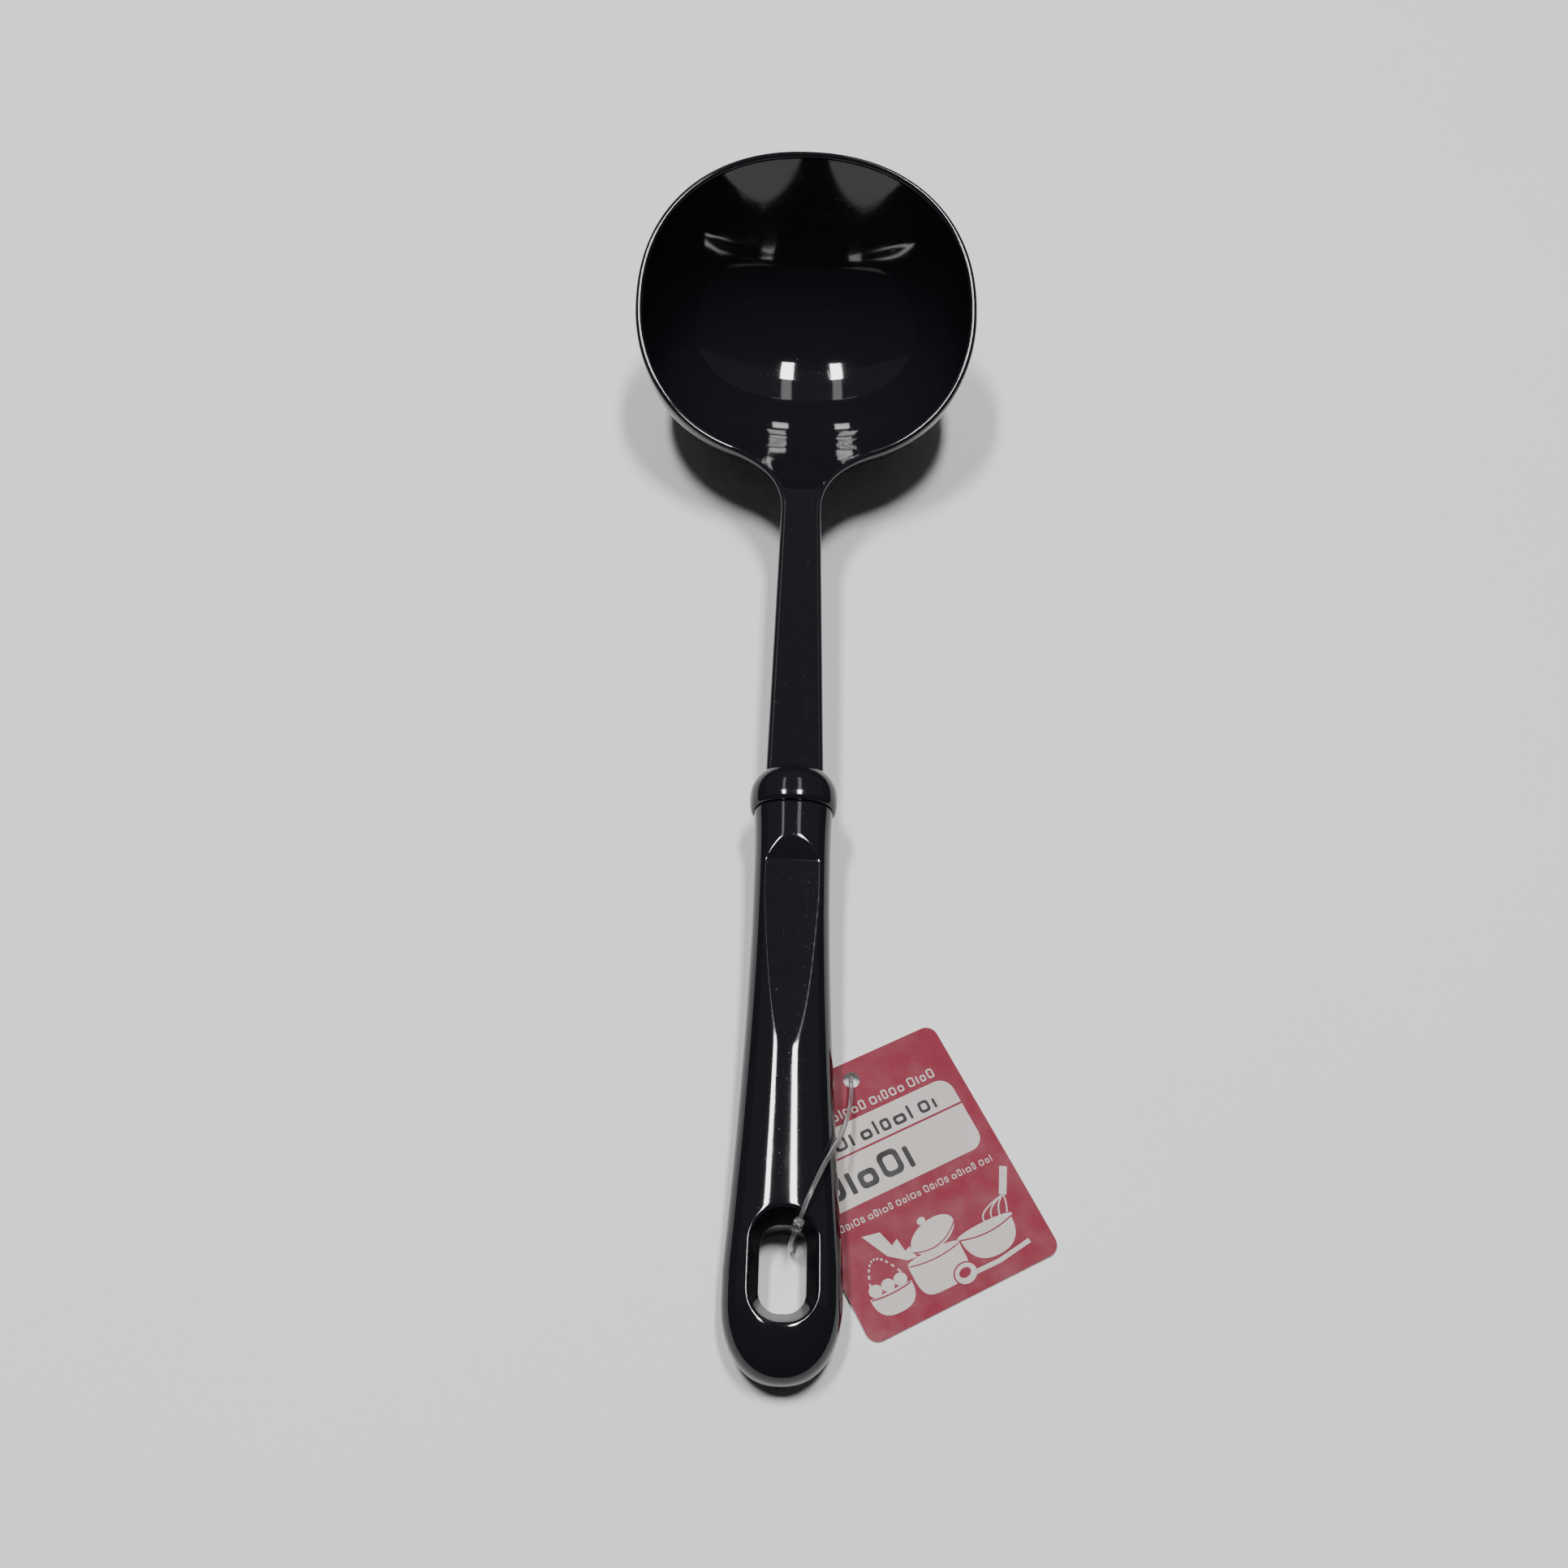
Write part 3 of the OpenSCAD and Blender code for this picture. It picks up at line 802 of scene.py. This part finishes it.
def inside(point, outline):
    """Whether a point is inside a closed outline."""
    hit = False
    for (x0, y0), (x1, y1) in zip(outline, outline[1:] + outline[:1]):
        if (y0 > point[1]) != (y1 > point[1]) and point[0] < x0 + (point[1] - y0) * (x1 - x0) / (y1 - y0):
            hit = not hit
    return hit


def make_card():
    """Board with a red printed face, cream back and edges."""
    outline = rounded(-CARD_W / 2, 0, CARD_W / 2, CARD_H, (CARD_R,) * 4)
    hole = oval_outline(0, CARD_H - PUNCH_IN, PUNCH_D / 2, PUNCH_D / 2, count=40)
    body, shell, fronts = plate([outline, hole], 0, CARD_T)
    kinds = [0] * fronts + [1] * (len(shell) - fronts)
    card = make_piece("tag_board", card_place(body), shell, [RED, CREAM], "tag", 40, kinds)
    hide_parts("tag_card")


def make_print(name, shapes, material, level=0):
    """One printed layer: every shape is a list of outlines, the later ones holes."""
    points, faces = [], []
    for outlines in shapes:
        body, shell, _ = plate(outlines, CARD_T - INK_SUNK, CARD_T + INK * (level + 1))
        faces += [tuple(i + len(points) for i in face) for face in shell]
        points += body
    make_piece(name, card_place(points), faces, [material], "tag", 40)


def bar(x0, y0, x1, y1):
    """Outlines of one solid rounded bar."""
    r = min(y1 - y0, x1 - x0) * 0.3
    return [rounded(x0, y0, x1, y1, (r,) * 4, 4)]


def blocks(start, end, low, high, widths, gap, pen):
    """A generic line of print: rings and bars of those widths, over and over, from start to end."""
    made, x, k = [], start, 0
    while x + widths[k % len(widths)] <= end:
        width = widths[k % len(widths)]
        drop = 0.16 * (high - low) * (k % 3)
        made.append(bar(x, low, x + width, high - drop))
        if width > 3 * pen:
            r = (width - 2 * pen) * 0.3
            made[-1].append(rounded(x + pen, low + pen, x + width - pen, high - drop - pen, (r,) * 4, 4))
        x += width + gap * (2.2 if k % 5 == 4 else 1)
        k += 1
    return made


def stroke(points, width):
    """Outlines of a line of one width through points."""
    path = np.array(points, float)
    along = np.gradient(path, axis=0)
    along /= np.linalg.norm(along, axis=1)[:, None]
    off = np.stack([-along[:, 1], along[:, 0]], 1) * width / 2
    return [[tuple(q) for q in np.vstack([path + off, (path - off)[::-1]])]]


def curve(start, control, end, count=12):
    """Points of a curve bent towards a control point."""
    t = np.linspace(0, 1, count)[:, None]
    a, b, c = np.array(start, float), np.array(control, float), np.array(end, float)
    return (1 - t) ** 2 * a + 2 * (1 - t) * t * b + t * t * c


def oval_outline(x, y, rx, ry, tilt=0.0, count=32):
    c, s = math.cos(math.radians(tilt)), math.sin(math.radians(tilt))
    angles = [TURN * k / count for k in range(count)]
    places = [(rx * math.cos(a), ry * math.sin(a)) for a in angles]
    return [(x + u * c - v * s, y + u * s + v * c) for u, v in places]


def cup_outline(left, right, top, bottom, squareness=2.6, count=20):
    """Half oval hanging from a straight top edge."""
    x, rx = (left + right) / 2, (right - left) / 2
    k = 2 / squareness
    angles = [math.pi * i / count for i in range(count + 1)]
    return [(x - rx * power(math.cos(a), k), top - (top - bottom) * power(math.sin(a), k)) for a in angles]


PANEL_LEFT = -18.4
PANEL_RIGHT = 18.1
PANEL_LOW = 24.9
PANEL_HIGH = 40.9
RULE = 34.7
WHISK = (16.0, 14.5)


def printed_words():
    title = blocks(-16.5, 16.8, 41.9, 43.9, (1.5, 0.35, 1.2, 1.4, 1.3), 0.5, 0.3)
    note = blocks(-16.5, 18.4, 21.3, 22.7, (1.0, 0.8, 0.2, 1.1, 0.7), 0.4, 0.2)
    make_print("print_light_words", title + note, CREAM)
    upper = blocks(-17.2, 14.2, 35.9, 38.9, (2.4, 0.6, 2.1, 2.7, 0.6), 0.8, 0.6)
    lower = blocks(-16.4, 8.0, 27.0, 32.4, (4.6, 1.1, 4.0), 1.1, 1.1)
    make_print("print_dark_words", upper + lower, DARK, 1)
    make_print("print_rule", [bar(PANEL_LEFT, RULE - 0.22, PANEL_RIGHT, RULE + 0.22)], RED, 1)


def kitchen_pictures():
    """Plain pictures of a pot, a mixing bowl with a whisk, a bread basket with eggs, and a ladle."""
    pot = [[cup_outline(-7.8, 3.5, 10.0, 3.2, 4.5)], [oval_outline(-2.1, 10.2, 5.6, 0.9, 0)]]
    lid = [[oval_outline(-0.4, 13.6, 5.2, 2.7, 14)], [oval_outline(-1.2, 16.8, 0.9, 0.7, 14)]]
    mixing = [[cup_outline(3.9, 15.3, 10.3, 4.6, 2.4)], [oval_outline(9.6, 10.5, 6.2, 0.9, 0)]]
    handle = [stroke([WHISK, (17.3, 16.6), (19.0, 19.4)], 1.5)]
    wires = [stroke(curve(WHISK, (1.5 * x - 6.25, 13.4), (x, 11.1)), 0.28) for x in (10.2, 11.8, 13.4, 15.0)]
    bread = [[[(-13.2, 19.0), (-10.4, 13.6), (-7.2, 11.2), (-5.2, 11.0), (-5.6, 13.4), (-6.8, 13.0),
               (-7.2, 15.8), (-8.6, 15.0), (-9.6, 18.3)]]]
    basket = [[cup_outline(-17.3, -8.4, 7.6, 3.2, 2.6)]]
    eggs = [[oval_outline(x, 8.7, 1.35, 1.2)] for x in (-15.6, -12.9, -10.2)]
    hoop = curve((-16.2, 9.6), (-13.4, 18.6), (-9.4, 9.8), 22)
    dashes = [stroke(hoop[k:k + 2], 0.35) for k in range(0, 21, 2)]
    ladle = [stroke([(3.4, 3.6), (9, 3.5), (16.2, 4.4)], 0.9), [oval_outline(1.8, 4.2, 2.3, 1.9, 10)]]
    edge = [stroke([(2.8, 4.4), (9, 4.25), (15.6, 5.1)], 0.3), [oval_outline(1.8, 4.2, 2.6, 2.2, 10)]]
    make_print("print_pictures", pot + lid + mixing + handle + wires + bread + basket + eggs + dashes, CREAM)
    make_print("print_ladle_edge", edge, RED, 1)
    make_print("print_ladle", ladle, CREAM, 2)
    rims = (((-5.6, 12.0), (0, 9.6), (4.8, 14.2), 0.25), ((-7.6, 9.9), (-2, 8.6), (3.3, 9.9), 0.25),
            ((3.9, 10.1), (9.6, 8.4), (15.3, 10.1), 0.28), ((-17.1, 7.4), (-12.8, 6.6), (-8.6, 7.4), 0.3))
    lines = [stroke(curve(start, control, end), width) for start, control, end, width in rims]
    make_print("print_picture_lines", lines, RED, 1)
    make_print("print_ladle_hollow", [[oval_outline(1.7, 4.4, 1.3, 0.9, 10)]], RED, 3)


make_card()
PANEL = rounded(PANEL_LEFT, PANEL_LOW, PANEL_RIGHT, PANEL_HIGH, (0.4, 3, 3, 0.4))
make_print("print_panel", [[PANEL]], CREAM)
printed_words()
kitchen_pictures()


# ---------------------------------------------------------------- floor and light

def make_floor():
    n = Nodes("floor_paper")
    n.link(n.colours(n.noise(9, 4), (0.88, 0.88, 0.885), (0.92, 0.92, 0.92)), n.shader.inputs["Base Color"])
    n.set(Roughness=0.7)
    mesh = bpy.data.meshes.new("floor")
    reach = 3
    corners = [(-reach, -reach, 0), (reach, -reach, 0), (reach, reach, 0), (-reach, reach, 0)]
    mesh.from_pydata(corners, [], [(0, 1, 2, 3)])
    mesh.materials.append(n.material)
    floor = bpy.data.objects.new("floor", mesh)
    bpy.context.scene.collection.objects.link(floor)


# Two rows of ceiling lamps, bright near the table and dim further off, and a large faint ceiling beyond.
WORLD = 0.025
LAMP_HEIGHT = 2.0
LAMP_X = (0.27, -0.54)
NEAR_Y = 0.235
NEAR_SIZE = (0.2, 0.57)
NEAR_WATTS = 29
FAR_Y = 1.15
FAR_SIZE = (0.16, 1.26)
FAR_WATTS = 1.8
CEILING_Y = 2.2
CEILING_HEIGHT = 2.1
CEILING_SIZE = (7, 4)
CEILING_WATTS = 6


def area_light(name, place, size, watts):
    """A rectangular white lamp that shines straight down."""
    data = bpy.data.lights.new(name, "AREA")
    data.shape = "RECTANGLE"
    data.size, data.size_y = size
    data.energy = watts
    light = bpy.data.objects.new(name, data)
    light.location = place
    light.rotation_euler = Vector((0, 0, -1)).to_track_quat("-Z", "Y").to_euler()
    bpy.context.scene.collection.objects.link(light)


def make_light():
    world = bpy.data.worlds.new("studio")
    world.use_nodes = True
    background = world.node_tree.nodes["Background"]
    background.inputs["Color"].default_value = (0.9, 0.95, 1, 1)
    background.inputs["Strength"].default_value = WORLD
    bpy.context.scene.world = world
    for x in LAMP_X:
        area_light("near_lamp", (x, NEAR_Y, LAMP_HEIGHT), NEAR_SIZE, NEAR_WATTS)
        area_light("far_lamp", (x, FAR_Y, LAMP_HEIGHT), FAR_SIZE, FAR_WATTS)
    area_light("ceiling", (0, CEILING_Y, CEILING_HEIGHT), CEILING_SIZE, CEILING_WATTS)


make_floor()
make_light()
